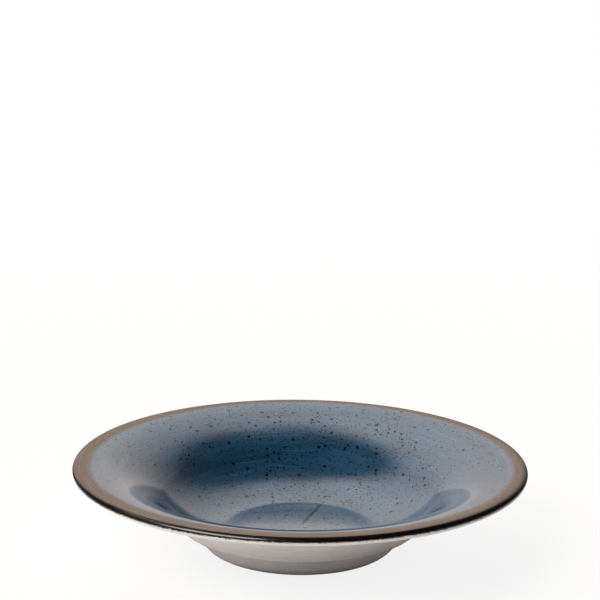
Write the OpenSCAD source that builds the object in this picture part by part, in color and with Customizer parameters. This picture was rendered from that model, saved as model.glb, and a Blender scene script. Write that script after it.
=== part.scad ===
// Rimmed soup plate: a pressed stoneware body whose rim rolls down in one sweep into a
// deep well, with a turned foot ring, under five fired glaze coats. Everything is a body
// of revolution about Z. The foot stands on Z = 0, with its centre at the origin.

/* [Overall size] */
// Diameter over the lip
plate_d = 230; // [215:1:250]
// Height from the table to the top of the lip
plate_h = 44.5; // [43:0.5:50]
// Thickness of the rim, with its glaze
rim_t = 4.5; // [3.8:0.1:5.4]

/* [Rim and well] */
// Radius of the brow, the sweep of the rim from the level lip down into the well
brow_r = 60; // [50:1:70]
// Slope of the wall of the well at its steepest, in degrees
wall_slope = 46; // [42:0.5:50]
// Radius of the cove between the wall and the floor
cove_r = 50; // [40:1:56]
// Thickness of the floor, with its glaze
floor_t = 4.8; // [4:0.1:6]

/* [Underside and foot ring] */
// Slope of the straight outer wall, in degrees
outer_slope = 40; // [37:0.5:45]
// Height of the recess inside the foot ring
recess_h = 6; // [5:0.1:7]
// Width of the flat face that the plate stands on
seat_w = 3.2; // [2:0.1:5]
// Radius of the rounding that runs up from the flat face to the side of the foot
foot_round_r = 11; // [9:0.5:13]
// Slope of the side of the foot, in degrees
foot_slope = 60; // [54:0.5:68]
// Height at which the side of the foot meets the underside of the well
foot_h = 10.3; // [9.5:0.1:12]
// Width of the ledge, the gentle underside between the foot and the bend
ledge_w = 5; // [3:0.1:6.5]
// Slope of the ledge, in degrees
ledge_slope = 17; // [12:0.5:18]
// Radius of the bend from the ledge up to the outer wall
bend_r = 10.5; // [8:0.5:13]
// Radius of the hollow corner between the foot and the underside
foot_fillet_r = 1.6; // [1:0.1:2.5]
// Radius of the rounding on the inner edge of the flat face
seat_inner_r = 1.4; // [1:0.1:2]
// Slope of the inner side of the foot ring, in degrees
recess_slope = 66; // [58:1:76]
// Radius of the hollow corner at the ceiling of the recess
recess_fillet_r = 3; // [2:0.1:4]

/* [Glaze coats] */
// Thickness of every glaze coat
glaze_t = 0.3; // [0.2:0.05:0.5]
// Width of the brow's roll that the taupe band covers, measured along the surface
taupe_w = 7.5; // [4:0.1:9]
// Turn of the lip, from its top, at which the black edge starts, in degrees
black_start_turn = 5; // [2:1:20]
// Turn of the lip, from its top, at which the black edge ends, in degrees
black_end_turn = 80; // [60:1:88]
// Turn of the foot's outer rounding that is wiped bare, in degrees
bare_turn = 9; // [6:1:14]
// Turn of the foot's inner rounding that is wiped bare, in degrees
bare_inner_turn = 18; // [10:1:30]

/* [Hidden] */

// Faces round the plate, and the turn in degrees that one step of an arc covers
$fn = 128;
arc_step = 6;

// Lip: a half circle as wide as the rim is thick
lip_r = rim_t / 2;
lip_c = [plate_d / 2 - lip_r, plate_h - lip_r];

// Heights inside the plate
recess_z = recess_h;
floor_z = recess_h + floor_t;

// Unit vector at an angle, and the unit normal that points up out of a slope
function along(a) = [cos(a), sin(a)];
function above(slope) = [-sin(slope), cos(slope)];

// Point that lies d1 above a line of slope a1 through p1 and d2 above one of slope a2 through p2
function meet(p1, a1, d1, p2, a2, d2) =
    let (n1 = above(a1), n2 = above(a2), k1 = d1 + n1 * p1, k2 = d2 + n2 * p2)
    let (det = n1.x * n2.y - n1.y * n2.x)
    [(k1 * n2.y - k2 * n1.y) / det, (n1.x * k2 - n2.x * k1) / det];

// Brow, with the lip's top as its highest point, down to the top of the wall
brow_c = [lip_c.x, plate_h - brow_r];
wall_top = brow_c + brow_r * above(wall_slope);

// Cove that touches the wall and the floor. In a shallow well it shrinks to what the wall leaves.
cove_fit_r = min(cove_r, (wall_top.y - floor_z) / (1 - cos(wall_slope)));
cove_c = meet([0, floor_z], 0, cove_fit_r, wall_top, wall_slope, cove_fit_r);

// Underside, from the hollow under the brow in: outer wall, bend and ledge
hollow_r = brow_r - rim_t;
outer_wall = brow_c + hollow_r * above(outer_slope);
ledge_end_z = foot_h + ledge_w * tan(ledge_slope);
bend_c = meet([0, ledge_end_z], 0, bend_r * cos(ledge_slope), outer_wall, outer_slope, bend_r);

// Foot, from the ledge down: hollow corner, side and rounding
foot_top = [bend_c.x + bend_r * sin(ledge_slope) - ledge_w, foot_h];
foot_fillet_c = meet(foot_top, foot_slope, -foot_fillet_r, foot_top, ledge_slope, -foot_fillet_r);
foot_side_z = foot_round_r * (1 - cos(foot_slope));
foot_side = foot_top - (foot_h - foot_side_z) / sin(foot_slope) * along(foot_slope);
foot_round_c = foot_side + foot_round_r * above(foot_slope);

// Recess inside the foot ring: rounding, leaning side and hollow corner at the ceiling
seat_in_c = [foot_round_c.x - seat_w, seat_inner_r];
recess_side = seat_in_c - seat_inner_r * above(-recess_slope);
recess_fillet_c =
    meet(recess_side, -recess_slope, -recess_fillet_r, [0, recess_z], 0, -recess_fillet_r);

// Turn of the brow where the taupe band gives way to the blue
taupe_turn = taupe_w / brow_r * 180 / PI;

// Points of an arc about c, from the normal of one slope to that of another.
// A negative radius gives the side below the centre. The slope is the surface's own,
// so both ends of the arc run on into straight stretches of the same slope.
function arc(c, r, from, to) =
    let (steps = max(1, ceil(abs(to - from) / arc_step)))
    [for (i = [0:steps]) c + r * above(from + (to - from) * i / steps)];

// Skin of each coat, outward along the profile, at a depth under the glazed surface.
// A hollow arc grows with the depth and a round one shrinks, so all skins are parallel.
function blue_skin(depth) = concat(
    [[0, floor_z - depth]],
    arc(cove_c, -cove_fit_r - depth, 0, wall_slope),
    arc(brow_c, brow_r - depth, wall_slope, taupe_turn)
);
function taupe_skin(depth) = concat(
    arc(brow_c, brow_r - depth, taupe_turn, 0),
    arc(lip_c, lip_r - depth, 0, -black_start_turn)
);
function black_skin(depth) =
    arc(lip_c, lip_r - depth, -black_start_turn, -black_end_turn);
function underside_skin(depth) = concat(
    arc(lip_c, lip_r - depth, -black_end_turn, -90),
    arc(lip_c, lip_r - depth, -90, -180),
    arc(brow_c, hollow_r + depth, 0, outer_slope),
    arc(bend_c, -bend_r + depth, outer_slope, ledge_slope),
    arc(foot_fillet_c, foot_fillet_r + depth, ledge_slope, foot_slope),
    arc(foot_round_c, -foot_round_r + depth, foot_slope, bare_turn)
);
function recess_skin(depth) = concat(
    arc(seat_in_c, -seat_inner_r + depth, -bare_inner_turn, -recess_slope),
    arc(recess_fillet_c, recess_fillet_r + depth, -recess_slope, 0),
    [[0, recess_z + depth]]
);

// The wiped ring has no glaze, so there the body itself reaches the surface
function bare_skin() = concat(
    arc(foot_round_c, -foot_round_r, bare_turn, 0),
    arc(seat_in_c, -seat_inner_r, 0, -bare_inner_turn)
);

function reversed(points) = [for (i = [len(points) - 1:-1:0]) points[i]];

// Points that follow each other at the same place are kept once
function once(points) = [
    for (i = [0:len(points) - 1])
        if (i == 0 || norm(points[i] - points[i - 1]) > glaze_t / 100) points[i]
];

// One fired coat: the space between its outer skin and its skin at the coat's depth
module coat(outer, inner) {
    rotate_extrude() polygon(once(concat(outer, reversed(inner))));
}

// Clay body under every coat, bare only where it stands
module stoneware_body() {
    color("#d9d2c8") rotate_extrude() polygon(once(concat(
        blue_skin(glaze_t), taupe_skin(glaze_t), black_skin(glaze_t),
        underside_skin(glaze_t), bare_skin(), recess_skin(glaze_t)
    )));
}

// Blue glaze over the floor, the wall of the well and the rim
module blue_face_glaze() {
    color("#4f6b80") coat(blue_skin(0), blue_skin(glaze_t));
}

// Taupe band where the brow rolls over towards the lip
module taupe_rim_band() {
    color("#8a7d72") coat(taupe_skin(0), taupe_skin(glaze_t));
}

// Black line round the outer edge of the lip
module black_edge_line() {
    color("#17120f") coat(black_skin(0), black_skin(glaze_t));
}

// White glaze from under the lip down to the wiped ring of the foot
module white_underside_glaze() {
    color("#e6e2dc") coat(underside_skin(0), underside_skin(glaze_t));
}

// White glaze over the recess inside the foot ring
module foot_recess_glaze() {
    color("#e6e2dc") coat(recess_skin(0), recess_skin(glaze_t));
}

stoneware_body();
blue_face_glaze();
taupe_rim_band();
black_edge_line();
white_underside_glaze();
foot_recess_glaze();
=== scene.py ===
import math

import bmesh
import bpy
from mathutils import Matrix, Vector


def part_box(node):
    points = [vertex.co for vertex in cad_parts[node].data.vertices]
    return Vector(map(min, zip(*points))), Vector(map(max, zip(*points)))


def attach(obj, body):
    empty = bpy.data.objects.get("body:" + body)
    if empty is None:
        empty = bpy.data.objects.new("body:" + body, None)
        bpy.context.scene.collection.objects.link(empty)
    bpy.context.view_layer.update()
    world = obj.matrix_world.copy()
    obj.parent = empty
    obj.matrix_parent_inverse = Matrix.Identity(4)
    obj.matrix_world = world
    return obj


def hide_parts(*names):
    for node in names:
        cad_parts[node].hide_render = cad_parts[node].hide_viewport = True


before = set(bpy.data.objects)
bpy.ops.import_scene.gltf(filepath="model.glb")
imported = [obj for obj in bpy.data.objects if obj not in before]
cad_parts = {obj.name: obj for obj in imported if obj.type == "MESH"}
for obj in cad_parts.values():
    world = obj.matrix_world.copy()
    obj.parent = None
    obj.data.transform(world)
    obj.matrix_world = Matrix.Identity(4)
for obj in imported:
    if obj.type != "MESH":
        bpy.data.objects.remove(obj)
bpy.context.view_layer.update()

scene = bpy.context.scene
scene.view_settings.view_transform = "Standard"
mm = 0.001


# Camera: a long lens on a stand in front of the table, so that the plate is seen from
# 18 degrees above and fills three quarters of the picture's width, with bare table over it.
look_down = math.radians(18.16)
lens_roll = math.radians(0.68)
plate_drop = math.radians(3.62)
camera_distance = 1454 * mm
aim_height = 35 * mm

camera = bpy.data.objects.new("camera", bpy.data.cameras.new("camera"))
camera.data.lens = 171.84
camera.data.sensor_width = 36
camera.data.clip_start = 0.05
camera.data.clip_end = 30
camera.matrix_world = (
    Matrix.Translation((
        0,
        -camera_distance * math.cos(look_down),
        camera_distance * math.sin(look_down) + aim_height,
    ))
    @ Matrix.Rotation(math.pi / 2 - look_down, 4, "X")
    @ Matrix.Rotation(lens_roll, 4, "Z")
    @ Matrix.Rotation(plate_drop, 4, "X")
)
scene.collection.objects.link(camera)
scene.camera = camera


# Stoneware body: one piece of pale clay, thrown or pressed on a turning mould and then
# trimmed to a template, with a rolled lip, a deep well and a foot ring. It is drawn here
# as that template, just under the glaze, and bare clay shows only where the foot stands.
plate_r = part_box("black_edge_line")[1].x
plate_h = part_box("taupe_rim_band")[1].z
lip_r = 2.25 * mm
brow_r = 60 * mm
wall_turn = 46
cove_r = 50 * mm
floor_t = 4.8 * mm
glaze_t = 0.3 * mm
taupe_turn = math.degrees(7.5 * mm / brow_r)
black_start_turn = 5
black_end_turn = 80

under_r = brow_r - 2 * lip_r
outer_turn = 40
bend_r = 10.5 * mm
ledge_w = 5 * mm
ledge_turn = 17
foot_h = 10.3 * mm
foot_turn = 60
foot_fillet_r = 1.6 * mm
foot_round_r = 11 * mm
bare_turn = 9
seat_w = 3.2 * mm
seat_inner_r = 1.4 * mm
bare_inner_turn = 18
recess_turn = 66
recess_fillet_r = 3 * mm
recess_h = 6 * mm


def rise(radius, turn):
    """How far an arc that starts level climbs or drops over a turn."""
    return radius * (1 - math.cos(math.radians(turn)))


def sine(turn):
    return math.sin(math.radians(turn))


def cosine(turn):
    return math.cos(math.radians(turn))


class Template:
    """Half of a section in the XZ plane, drawn stroke by stroke along the glazed surface.
    A depth draws it that much under the surface, on the side where the clay is."""

    def __init__(self, mesh, start, heading, clay_side, depth=0):
        self.mesh = mesh
        self.heading = heading
        self.clay_side = clay_side
        self.depth = depth
        self.tip = mesh.verts.new(start + self.into_clay() * depth)

    def into_clay(self):
        return self.clay_side * Vector((-sine(self.heading), 0, cosine(self.heading)))

    def stroke(self, way):
        new = bmesh.ops.extrude_vert_indiv(self.mesh, verts=[self.tip])["verts"]
        bmesh.ops.translate(self.mesh, verts=new, vec=way)
        self.tip = new[0]

    def straight(self, length, strokes=1):
        for _ in range(strokes):
            self.stroke(Vector((cosine(self.heading), 0, sine(self.heading))) * length / strokes)

    def arc(self, radius, turn, step=1.25):
        """A turn is to the left, or to the right if negative. A step is one stroke's turn."""
        towards_clay = math.copysign(1, turn) * self.clay_side
        radius -= towards_clay * self.depth
        bent = bmesh.ops.spin(
            self.mesh,
            geom=[self.tip],
            cent=self.tip.co + towards_clay * radius * self.into_clay(),
            axis=(0, -1, 0),
            angle=math.radians(turn),
            steps=max(2, math.ceil(abs(turn) / step)),
        )
        self.tip = next(v for v in bent["geom_last"] if isinstance(v, bmesh.types.BMVert))
        self.heading += turn

    def to_depth(self, depth):
        self.stroke(self.into_clay() * (depth - self.depth))
        self.depth = depth

    def to_axis(self):
        self.straight(self.tip.co.x, strokes=6)


CLAY_LEFT, CLAY_RIGHT = 1, -1
lip_centre = Vector((plate_r - lip_r, 0, plate_h - lip_r))
edge_start = lip_centre + lip_r * Vector((sine(black_start_turn), 0, cosine(black_start_turn)))


def draw_taupe(pen):
    pen.arc(lip_r, black_start_turn)
    pen.arc(brow_r, taupe_turn)


wall_drop = plate_h - recess_h - floor_t - rise(brow_r, wall_turn) - rise(cove_r, wall_turn)


def draw_blue(pen):
    pen.arc(brow_r, wall_turn - taupe_turn)
    pen.straight(wall_drop / sine(wall_turn))
    pen.arc(cove_r, -wall_turn)
    pen.to_axis()


def draw_black(pen):
    pen.arc(lip_r, black_start_turn - black_end_turn, step=5)


# The outer wall drops straight from the hollow under the rim to the bend over the foot
ledge_rise = ledge_w * sine(ledge_turn) / cosine(ledge_turn)
bend_rise = rise(bend_r, outer_turn) - rise(bend_r, ledge_turn)
hollow_end = plate_h - 2 * lip_r - rise(under_r, outer_turn)
outer_drop = hollow_end - foot_h - ledge_rise - bend_rise
fillet_cut = foot_fillet_r * math.tan(math.radians(foot_turn - ledge_turn) / 2)


def draw_underside(pen):
    pen.arc(lip_r, black_end_turn - 180, step=5)
    pen.arc(under_r, outer_turn)
    pen.straight(outer_drop / sine(outer_turn), strokes=4)
    pen.arc(bend_r, ledge_turn - outer_turn)
    pen.straight(ledge_w / cosine(ledge_turn) - fillet_cut)
    pen.arc(foot_fillet_r, foot_turn - ledge_turn, step=6)
    pen.straight((foot_h - rise(foot_round_r, foot_turn)) / sine(foot_turn) - fillet_cut)
    pen.arc(foot_round_r, bare_turn - foot_turn, step=3)


def draw_seat(pen):
    pen.arc(foot_round_r, -bare_turn, step=3)
    pen.straight(seat_w)
    pen.arc(seat_inner_r, -bare_inner_turn, step=6)


def draw_recess(pen):
    pen.arc(seat_inner_r, bare_inner_turn - recess_turn, step=6)
    pen.straight(
        (recess_h - rise(seat_inner_r, recess_turn) - rise(recess_fillet_r, recess_turn))
        / sine(recess_turn)
    )
    pen.arc(recess_fillet_r, recess_turn, step=6)
    pen.to_axis()


def spin_piece(mesh, name, node, material):
    """Turns a section about the plate's axis, into one wedge first and then all round."""
    wedges = 12
    wedge_steps = 30
    weld = 0.001 * mm
    sharp_turn = math.radians(35)
    about = {"cent": (0, 0, 0), "axis": (0, 0, 1)}
    full_turn = 2 * math.pi
    bmesh.ops.remove_doubles(mesh, verts=mesh.verts, dist=weld)
    section = mesh.verts[:] + mesh.edges[:]
    bmesh.ops.spin(mesh, geom=section, angle=full_turn / wedges, steps=wedge_steps, **about)
    wedge = mesh.verts[:] + mesh.edges[:] + mesh.faces[:]
    bmesh.ops.spin(
        mesh, geom=wedge, angle=full_turn, steps=wedges, use_duplicate=True, use_merge=True, **about
    )
    bmesh.ops.remove_doubles(mesh, verts=mesh.verts, dist=weld)
    bmesh.ops.recalc_face_normals(mesh, faces=mesh.faces)
    for face in mesh.faces:
        face.smooth = True
    for edge in mesh.edges:
        edge.smooth = edge.calc_face_angle(0) < sharp_turn
    data = bpy.data.meshes.new(name)
    mesh.to_mesh(data)
    mesh.free()
    data.materials.append(material)
    piece = bpy.data.objects.new(name, data)
    scene.collection.objects.link(piece)
    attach(piece, "root")
    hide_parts(node)


class Value:
    """An output of a shader node, which takes part in plain arithmetic."""

    def __init__(self, tree, socket):
        self.tree = tree
        self.socket = socket

    def math(self, operation, *others):
        inputs = dict(enumerate((self, *others)))
        return self.tree.node("Math", {"operation": operation}, inputs)

    def __add__(self, other):
        return self.math("ADD", other)

    def __radd__(self, other):
        return self.math("ADD", other)

    def __sub__(self, other):
        return self.math("SUBTRACT", other)

    def __rsub__(self, other):
        return (self * -1).math("ADD", other)

    def __mul__(self, other):
        return self.math("MULTIPLY", other)

    def __rmul__(self, other):
        return self.math("MULTIPLY", other)

    def __truediv__(self, other):
        return self.math("DIVIDE", other)

    def __pow__(self, other):
        return self.math("POWER", other)

    def beside(self, output):
        """Another output of the same node."""
        return Value(self.tree, self.socket.node.outputs[output])

    def step(self, low, high, start=0, end=1):
        """Goes smoothly from start to end while this value goes from low to high."""
        settings = {"interpolation_type": "SMOOTHSTEP"}
        inputs = {"Value": self, "From Min": low, "From Max": high, "To Min": start, "To Max": end}
        return self.tree.node("MapRange", settings, inputs)


class Tree:
    """The shader tree of one finish, or of the light all round."""

    def __init__(self, nodes_of):
        nodes_of.use_nodes = True
        self.nodes = nodes_of.node_tree.nodes
        self.links = nodes_of.node_tree.links

    def node(self, kind, settings, inputs, output=0):
        new = self.nodes.new("ShaderNode" + kind)
        for name, value in settings.items():
            setattr(new, name, value)
        self.feed(new, inputs)
        return Value(self, new.outputs[output])

    def feed(self, node, inputs):
        for key, value in inputs.items():
            socket = node.inputs[key]
            if isinstance(value, Value):
                self.links.new(value.socket, socket)
            else:
                socket.default_value = value

    def parts(self, vector):
        return [self.node("SeparateXYZ", {}, {0: vector}, axis) for axis in range(3)]

    def vector(self, x, y, z):
        return self.node("CombineXYZ", {}, {0: x, 1: y, 2: z})

    def mix(self, low, high, factor):
        """The low colour where the factor is 0, and the high one where it is 1."""
        first, second, result = 6, 7, 2  # the node's sockets for colours
        inputs = {0: factor, first: low, second: high}
        return self.node("Mix", {"data_type": "RGBA"}, inputs, result)

    def noise(self, where, scale, detail=2, roughness=0.5):
        inputs = {"Vector": where, "Scale": scale, "Detail": detail, "Roughness": roughness}
        return self.node("TexNoise", {}, inputs)

    def bump(self, strength, depth, height):
        return self.node("Bump", {}, {"Strength": strength, "Distance": depth, "Height": height})


def finish(name):
    """A new material, its tree, and the shader that gives its surface."""
    material = bpy.data.materials.new(name)
    tree = Tree(material)
    return material, tree, tree.nodes["Principled BSDF"]


clay_dark = (0.62, 0.56, 0.48, 1)
clay_pale = (0.78, 0.74, 0.67, 1)
grog_per_metre = 1400

bisque, tree, shader = finish("bare_clay")
place = tree.node("TexCoord", {}, {}, "Object")
grog = tree.noise(place, grog_per_metre, detail=3).step(0.35, 0.7)
tree.feed(shader, {
    "Base Color": tree.mix(clay_dark, clay_pale, grog),
    "Roughness": 0.9,
    "Normal": tree.bump(0.3, 0.05 * mm, grog),
})

mesh = bmesh.new()
pen = Template(mesh, edge_start, -black_start_turn, CLAY_RIGHT, glaze_t)
draw_black(pen)
draw_underside(pen)
pen.to_depth(0)
draw_seat(pen)
pen.to_depth(glaze_t)
draw_recess(pen)
pen = Template(mesh, edge_start, 180 - black_start_turn, CLAY_LEFT, glaze_t)
draw_taupe(pen)
draw_blue(pen)
spin_piece(mesh, "clay_body", "stoneware_body", bisque)


# Face glazes: deep blue over the floor, the wall and the rim, and a warm taupe over the roll
# of the rim up to the lip, both brushed on while the plate turned. They run into each other
# along an edge that isn't quite round, and iron spots from the clay have melted through.
def coat(draw, start, heading, clay_side, name, node, slot, material):
    """One coat of glaze: its skin and its underside on the clay, closed at its edges.
    Gives back where its skin ends and heads, for the coat that goes on from there."""
    mesh = bmesh.new()
    pens = [Template(mesh, start, heading, clay_side, depth) for depth in (0, glaze_t)]
    mesh.edges.new([pen.tip for pen in pens])
    for pen in pens:
        draw(pen)
    skin_end = Vector(pens[0].tip.co)
    stops_short_of_axis = skin_end.x > glaze_t
    if stops_short_of_axis:
        mesh.edges.new([pen.tip for pen in pens])
    spin_piece(mesh, name, node, material)
    return skin_end, pens[0].heading


class Spot:
    """Where a point lies on the plate, in millimetres, and the textures laid there."""

    def __init__(self, tree):
        self.tree = tree
        place = tree.node("TexCoord", {}, {}, "Object")
        self.place = tree.node("VectorMath", {"operation": "SCALE"}, {0: place, "Scale": 1 / mm})
        self.x, self.y, self.z = tree.parts(self.place)
        least_radius = 0.01
        square = self.x * self.x + self.y * self.y
        self.radius = square.math("SQRT").math("MAXIMUM", least_radius)
        self.east = self.x / self.radius
        self.north = self.y / self.radius
        self.aside = self.east.math("ABSOLUTE")

    def rings(self, turns, across, detail=3, roughness=0.5):
        """Noise drawn out round the plate, finer across the rings than along them."""
        along = (self.radius + self.z) * across
        where = self.tree.vector(self.east * turns, self.north * turns, along)
        return self.tree.noise(where, 1, detail, roughness)

    def teeth(self, fineness, detail=3):
        """Noise from -0.5 to 0.5 that changes only round the plate."""
        where = self.tree.vector(self.east * fineness, self.north * fineness, 0)
        return self.tree.noise(where, 1, detail, 0.7) - 0.5

    def grain(self, fineness, detail=3, roughness=0.6):
        """Noise with grains the same every way, so many of them to a millimetre."""
        return self.tree.noise(self.place, fineness, detail, roughness)

    def spots(self, gap, size, plenty):
        """Ragged round spots, at most one to a cell, each with a size of its own."""
        raggedness = (0.5, 0.5, 0.5)
        ripples = {"Vector": self.place, "Scale": 1.3}
        nudge = self.tree.node("TexNoise", {}, ripples, "Color")
        where = self.tree.node(
            "VectorMath", {"operation": "MULTIPLY_ADD"}, {0: nudge, 1: raggedness, 2: self.place}
        )
        cells = {"Vector": where, "Scale": 1 / gap}
        away = self.tree.node("TexVoronoi", {"feature": "F1"}, cells, "Distance")
        lot = self.tree.parts(away.beside("Color"))[0]
        least = 0.32
        reach = (lot * lot * (1 - least) + least) * plenty * (size / gap)
        return (away / reach).step(0.8, 1.05, 1, 0)


blue_thick = (0.0095, 0.042, 0.086, 1)
blue_thin = (0.0165, 0.076, 0.154, 1)
blue_bristles = (0.050, 0.135, 0.21, 1)
blue_painted_reflection = (0.085, 0.12, 0.16, 1)
reflection_full_r, reflection_end_r = 28, 43


def blue_look(tree, spot):
    """Rings of brush strokes, pale where the bristles dragged, and a painted reflection that
    lightens the floor towards its centre.
    """
    broad = spot.rings(turns=2.5, across=0.10)
    strokes = spot.rings(turns=4, across=1.1, detail=4, roughness=0.6)
    hairs = spot.rings(turns=1.7, across=1.9, detail=2)
    grain = spot.grain(2.2)
    tone = (strokes * 0.45 + broad * 0.35 + grain * 0.2).step(0.34, 0.66)
    colour = tree.mix(blue_thick, blue_thin, tone)
    bristles = hairs.step(0.55, 0.68) * spot.rings(turns=2, across=0.2).step(0.42, 0.62)
    colour = tree.mix(colour, blue_bristles, bristles * 0.7)
    # Painted reflection: a paler, greyer blue over the floor's centre, standing in for the bright
    # room that it mirrors.
    painted_reflection = (spot.radius + spot.grain(0.15) * 12).step(reflection_full_r, reflection_end_r, 1, 0)
    colour = tree.mix(colour, blue_painted_reflection, painted_reflection * (tone * 0.3 + 0.7) * 0.7)
    height = strokes * 0.6 + hairs * 0.25 + grain * 0.15
    return {
        "Base Color": colour,
        "Roughness": 0.05 + strokes * 0.06 + bristles * 0.06,
        "Normal": tree.bump(0.22, 0.03 * mm, height),
    }


taupe_dark = (0.108, 0.075, 0.056, 1)
taupe_pale = (0.182, 0.138, 0.109, 1)
# The colour of the painted shade where the lip rolls over, away from the light.
taupe_painted_shade = (0.020, 0.013, 0.012, 1)
lip_shade_start_r, lip_shade_full_r = 110.8, 116


def taupe_look(tree, spot):
    """Grainy taupe, with painted shade that darkens it towards the lip and more on the right side,
    where the roll turns away from the light.
    """
    tone = spot.rings(turns=5, across=0.9) * 0.5 + spot.grain(2.5, 4, 0.7) * 0.5
    colour = tree.mix(taupe_dark, taupe_pale, tone.step(0.35, 0.65))
    # Painted shade: darker where the lip turns down from the light, and darker on the right, where
    # less light falls.
    lip_shade_r = spot.radius + spot.teeth(60) * 1.2 + spot.east
    lip_painted_shade = lip_shade_r.step(lip_shade_start_r, lip_shade_full_r)
    return {
        "Base Color": tree.mix(colour, taupe_painted_shade, lip_painted_shade * 0.9),
        "Roughness": 0.36 + tone * 0.16,
        "Specular IOR Level": 0.12,
        "Normal": tree.bump(0.2, 0.03 * mm, tone),
    }


taupe_edge_r = 107
taupe_edge_soft = 1.8


def taupe_cover(spot):
    """1 where the taupe lies and 0 where the blue does."""
    edge = taupe_edge_r + spot.east * 0.65 + spot.north * 0.5 + spot.north ** 3 * 1.35
    ragged = spot.teeth(95, 4) * 2.0 + spot.teeth(5) * 1.0
    return (spot.radius - edge + ragged).step(-taupe_edge_soft, taupe_edge_soft)


def iron_cover(spot):
    """1 on the iron spots, which are most where the glaze is thick, at the back and right."""
    drift = spot.rings(turns=3, across=0.04)
    plenty = 0.74 + spot.north * 0.18 + spot.east * 0.04 + drift * 0.45
    small = spot.spots(gap=1.15, size=0.44, plenty=plenty)
    large = spot.spots(gap=3.4, size=0.93, plenty=plenty)
    return small.math("MAXIMUM", large)


# A painted reflection: a thin dark streak where the floor of the well mirrors dark gear in the
# room, drawn as a dark, dull mark.
streak_lean = 0.313
streak_near = (1.5, 8)
streak_far = (33, 38)
streak_side = (0.5, 1.9)
floor_top_z = 14


def painted_reflection_streak(spot):
    """1 on a painted dark reflection: a thin streak over the floor of the well, where the floor
    mirrors dark gear in the room.
    """
    off_line = (spot.x - streak_lean * spot.y).math("ABSOLUTE") + spot.grain(0.6) * 0.8
    length = spot.y.step(*streak_near) * spot.y.step(*streak_far, 1, 0)
    on_floor = spot.z.step(floor_top_z, floor_top_z + 1, 1, 0)
    return off_line.step(*streak_side, 1, 0) * length * on_floor * 0.85


# Black and brown of the iron spots, and also of the painted dark reflection streak.
iron_and_reflection_black = (0.001, 0.001, 0.002, 1)
iron_and_reflection_brown = (0.005, 0.002, 0.002, 1)


def face_finish(name):
    """Blue and taupe in one finish, so that each coat follows the edge between them."""
    material, tree, shader = finish(name)
    spot = Spot(tree)
    tree.feed(shader, blue_look(tree, spot))
    blue = Value(tree, shader.outputs[0])
    taupe = tree.node("BsdfPrincipled", {}, taupe_look(tree, spot))
    # Dark iron spots, and also the painted dark reflection streak on the floor.
    iron_and_reflection = tree.node("BsdfPrincipled", {}, {
        "Base Color": tree.mix(iron_and_reflection_black, iron_and_reflection_brown, spot.grain(0.8)),
        "Roughness": 0.07,
        "Specular IOR Level": 0.16,
    })
    cover = taupe_cover(spot)
    dark = iron_cover(spot).math("MAXIMUM", painted_reflection_streak(spot))
    skin = tree.node("MixShader", {}, {0: cover, 1: blue, 2: taupe})
    skin = tree.node("MixShader", {}, {0: dark * (1 - cover * 0.8), 1: skin, 2: iron_and_reflection})
    tree.feed(tree.nodes["Material Output"], {"Surface": skin})
    return material


blue_start = coat(
    draw_taupe, edge_start, 180 - black_start_turn, CLAY_LEFT,
    "taupe_band", "taupe_rim_band", "taupe_glaze", face_finish("taupe_glaze"),
)
coat(
    draw_blue, *blue_start, CLAY_LEFT,
    "blue_face", "blue_face_glaze", "blue_glaze", face_finish("blue_glaze"),
)


# Black edge: an iron black line banded by hand round the outside of the lip. It is grainy,
# dry at the plate's two sides and on its own upper part, and soft towards the taupe, which
# covers more of it at the sides and the back.
lip_black = (0.0045, 0.0025, 0.003, 1)
lip_crumbs = (0.022, 0.011, 0.009, 1)
dry_black = (0.006, 0.003, 0.004, 1)
dry_crumbs = (0.020, 0.010, 0.009, 1)

black_glaze, tree, shader = finish("black_glaze")
spot = Spot(tree)
crumbs = spot.grain(2.6, 3, 0.7).step(0.56, 0.68)
tree.feed(shader, {
    "Base Color": tree.mix(lip_black, lip_crumbs, crumbs),
    "Roughness": 0.12 + crumbs * 0.2,
    "IOR": 1.7,
    "Normal": tree.bump(0.3, 0.04 * mm, crumbs),
})
glossy = Value(tree, shader.outputs[0])
dry = tree.node("BsdfPrincipled", {}, {
    "Base Color": tree.mix(dry_black, dry_crumbs, crumbs),
    "Roughness": 0.6,
    "Specular IOR Level": 0.03,
})
# The taupe over the top of the lip, with its painted shade darkening it towards the lip.
taupe = tree.node("BsdfPrincipled", {}, taupe_look(tree, spot))

# The turn round the lip is in degrees from its top. At the front the taupe gives way to
# the black at once, and towards the back later and more slowly.
beyond = spot.radius - lip_centre.x / mm
lip_turn = beyond.math("ARCTAN2", spot.z - lip_centre.z / mm) * math.degrees(1)
fade = lip_turn + spot.teeth(120) * 8 - black_start_turn - (spot.north + 1) * 25
fade = (fade / ((spot.north + 1) * 44 + 8)).step(0, 1)
dryness = spot.aside.step(0.6, 0.8).math("MAXIMUM", lip_turn.step(30, 40, 1, 0))
skin = tree.node("MixShader", {}, {0: dryness, 1: glossy, 2: dry})
skin = tree.node("MixShader", {}, {0: fade, 1: taupe, 2: skin})
tree.feed(tree.nodes["Material Output"], {"Surface": skin})
white_start = coat(
    draw_black, edge_start, -black_start_turn, CLAY_RIGHT,
    "black_edge", "black_edge_line", "black_glaze", black_glaze,
)


# White underside: a glossy white glaze from under the lip down to the wiped foot, with the
# faint rings of the turning tool under it and a pinhole here and there. The black line runs
# down over its upper edge a little way and ends there raggedly.
white_shade = (0.82, 0.80, 0.81, 1)
white_clear = (0.90, 0.88, 0.89, 1)
pinhole_clay = (0.30, 0.25, 0.22, 1)


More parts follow.
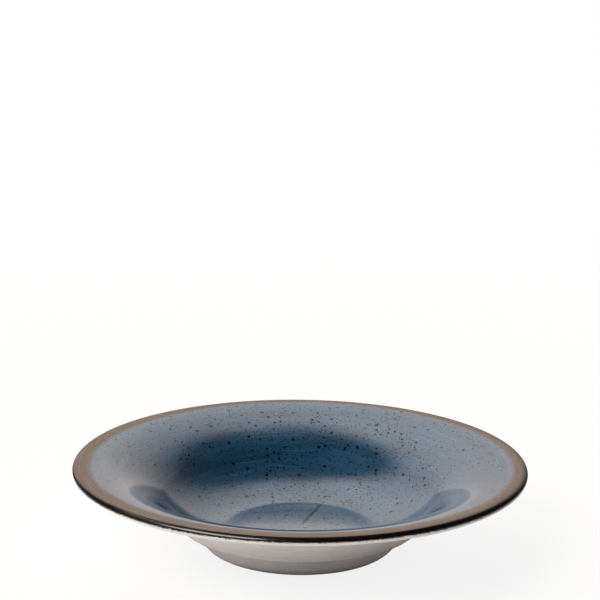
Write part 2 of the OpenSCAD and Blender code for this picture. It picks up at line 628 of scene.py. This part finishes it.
def white_look(tree, spot):
    """Clear white, hardly uneven, over the rings that the turning tool left."""
    tone = spot.rings(turns=4, across=0.35) * 0.6 + spot.grain(0.25) * 0.4
    colour = tree.mix(white_shade, white_clear, tone.step(0.35, 0.65))
    pinholes = spot.spots(gap=9, size=0.8, plenty=0.8)
    height = spot.rings(turns=3, across=0.8) * 0.5 + spot.grain(0.5) * 0.5 - pinholes * 0.4
    return {
        "Base Color": tree.mix(colour, pinhole_clay, pinholes * 0.7),
        "Roughness": 0.10 + tone * 0.06,
        "Normal": tree.bump(0.12, 0.04 * mm, height),
    }


black_low_z = 42.2
black_low_soft = 0.06
black_overrun = (0.005, 0.003, 0.0035, 1)


def black_cover(spot):
    """1 on the black line and 0 under its ragged lower edge, which is lower at the sides."""
    ragged = (spot.grain(1.8, 2, 0.7) - 0.5) * 3 + spot.teeth(6) * 0.3
    ragged = ragged + spot.aside.step(0.4, 0.9) * 0.45 + spot.east.step(0.2, 0.6) * 0.15
    return (spot.z + ragged).step(black_low_z - black_low_soft, black_low_z + black_low_soft)


white_glaze, tree, shader = finish("white_glaze")
spot = Spot(tree)
look = white_look(tree, spot)
look["Base Color"] = tree.mix(look["Base Color"], black_overrun, black_cover(spot))
tree.feed(shader, look)
foot_start = coat(
    draw_underside, *white_start, CLAY_RIGHT,
    "white_underside", "white_underside_glaze", "white_glaze", white_glaze,
)


# White recess: the same white glaze, poured into the hollow inside the foot ring. A pen
# that draws nothing else carries the section on across the bare seat to where it starts.
seat = bmesh.new()
pen = Template(seat, *foot_start, CLAY_RIGHT)
draw_seat(pen)
recess_start = Vector(pen.tip.co), pen.heading
seat.free()

recess_glaze, tree, shader = finish("recess_glaze")
tree.feed(shader, white_look(tree, Spot(tree)))
coat(
    draw_recess, *recess_start, CLAY_RIGHT,
    "foot_recess", "foot_recess_glaze", "white_glaze", recess_glaze,
)


# Table: a plain matt white top under the plate and well behind it. It glows to the camera,
# a little less round the plate, so that its far edge is lost in the white background and
# the plate still has its soft shadow.
table_w = 1.6
table_paint = (0.9, 0.9, 0.9, 1)
white = (1, 1, 1, 1)
near_glow = 0.85
near_end, far_start = 0.3, 0.75

table_white, tree, shader = finish("table_white")
ray = tree.node("LightPath", {}, {}, "Is Camera Ray")
tree.feed(shader, {"Base Color": table_paint, "Roughness": 1.0, "Specular IOR Level": 0})
glow = tree.node("Emission", {}, {"Color": white, "Strength": 1.0})
x, y, z = tree.parts(tree.node("TexCoord", {}, {}, "Object"))
far = (x * x + y * y).math("SQRT").step(near_end, far_start)
glowing = ray * (near_glow + far * (1 - near_glow))
seen = tree.node("MixShader", {}, {0: glowing, 1: Value(tree, shader.outputs[0]), 2: glow})
tree.feed(tree.nodes["Material Output"], {"Surface": seen})
mesh = bmesh.new()
bmesh.ops.create_grid(mesh, x_segments=1, y_segments=1, size=table_w / 2)
data = bpy.data.meshes.new("table")
mesh.to_mesh(data)
mesh.free()
data.materials.append(table_white)
table = bpy.data.objects.new("table", data)
scene.collection.objects.link(table)


# Light: one broad soft bank over the back of the table, brighter towards its top and left,
# with leaning sides, and a smaller box in front on the left. Turns are in degrees to the
# right of straight back, heights in degrees over the table, and a pair is a soft edge.
bank_light = 1.42
bank_light_rise = 0.00036
bank_right_loss = 0.009
bank_brightest_turn = -22
bank_foot = -4
bank_foot_light = 0.62
bank_foot_full = 32
bank_foot_left_rise = 9
bank_foot_right_drop = -6
bank_left_lean = 0.63
bank_left = (-91, -45)
bank_right_low = (-5, 75)
bank_right_high = (22, 54)
bank_top = (60, 84)
box_light = 6.4
box_left = (-161, -155)
box_right = (-103, -97)
box_low = (27, 33)
box_high = (52, 60)
ceiling_light = 0.22
left_wall_light = 0.16
back_wall_light = 0.13
room_light = 0.012
low_tint = (1.0, 0.88, 0.81, 1)
high_tint = (1.0, 0.96, 0.905, 1)

world = bpy.data.worlds.new("studio")
scene.world = world
tree = Tree(world)
background = tree.nodes["Background"]
ray_way = tree.node("TexCoord", {}, {}, "Generated")
east, north, up = tree.parts(ray_way)
turn = east.math("ARCTAN2", north) * math.degrees(1)
height = up.math("ARCSINE") * math.degrees(1)

# The bank: its light, its dim foot, its left end, its right end high up and low down, its top
bank = bank_light + height * height * bank_light_rise
bank = bank * (1 - turn.math("MAXIMUM", bank_brightest_turn) * bank_right_loss)
foot_height = height - turn.step(-4, 6, bank_foot_left_rise, bank_foot_right_drop)
bank = bank * foot_height.step(bank_foot, bank_foot_full, bank_foot_light, 1)
left_lean = ((height - 45) * bank_left_lean).math("MAXIMUM", -4)
bank = bank * (turn - left_lean).step(*bank_left)
high_up = height.step(15, 45)
right_high = turn.step(*bank_right_high, 1, 0)
right_low = turn.step(*bank_right_low, 1, 0)
bank = bank * (right_high * high_up + right_low * (1 - high_up))
overhead = height.step(*bank_top)
bank = bank * (1 - overhead) * height.step(-3, 1)

# What it throws on the ceiling, on the left wall and on the back wall
glow = (north - east.math("ABSOLUTE") * 0.5).step(-0.18, 0.14) * overhead * ceiling_light
glow = glow + (east * -1).step(0.0, 0.5) * left_wall_light
glow = glow + turn.math("ABSOLUTE").step(45, 85, 1, 0) * back_wall_light
glow = glow * height.step(-3, 3)

front_box = turn.step(*box_left) * turn.step(*box_right, 1, 0)
front_box = front_box * height.step(*box_low) * height.step(*box_high, 1, 0)
light = bank + glow + front_box * box_light + room_light

# To the camera the background is plain white
camera_ray = tree.node("LightPath", {}, {}, "Is Camera Ray")
light = light * (1 - camera_ray) + camera_ray
tint = tree.mix(low_tint, high_tint, height.step(10, 50))
tint = tree.mix(tint, white, camera_ray)
tree.feed(background, {"Color": tint, "Strength": light})
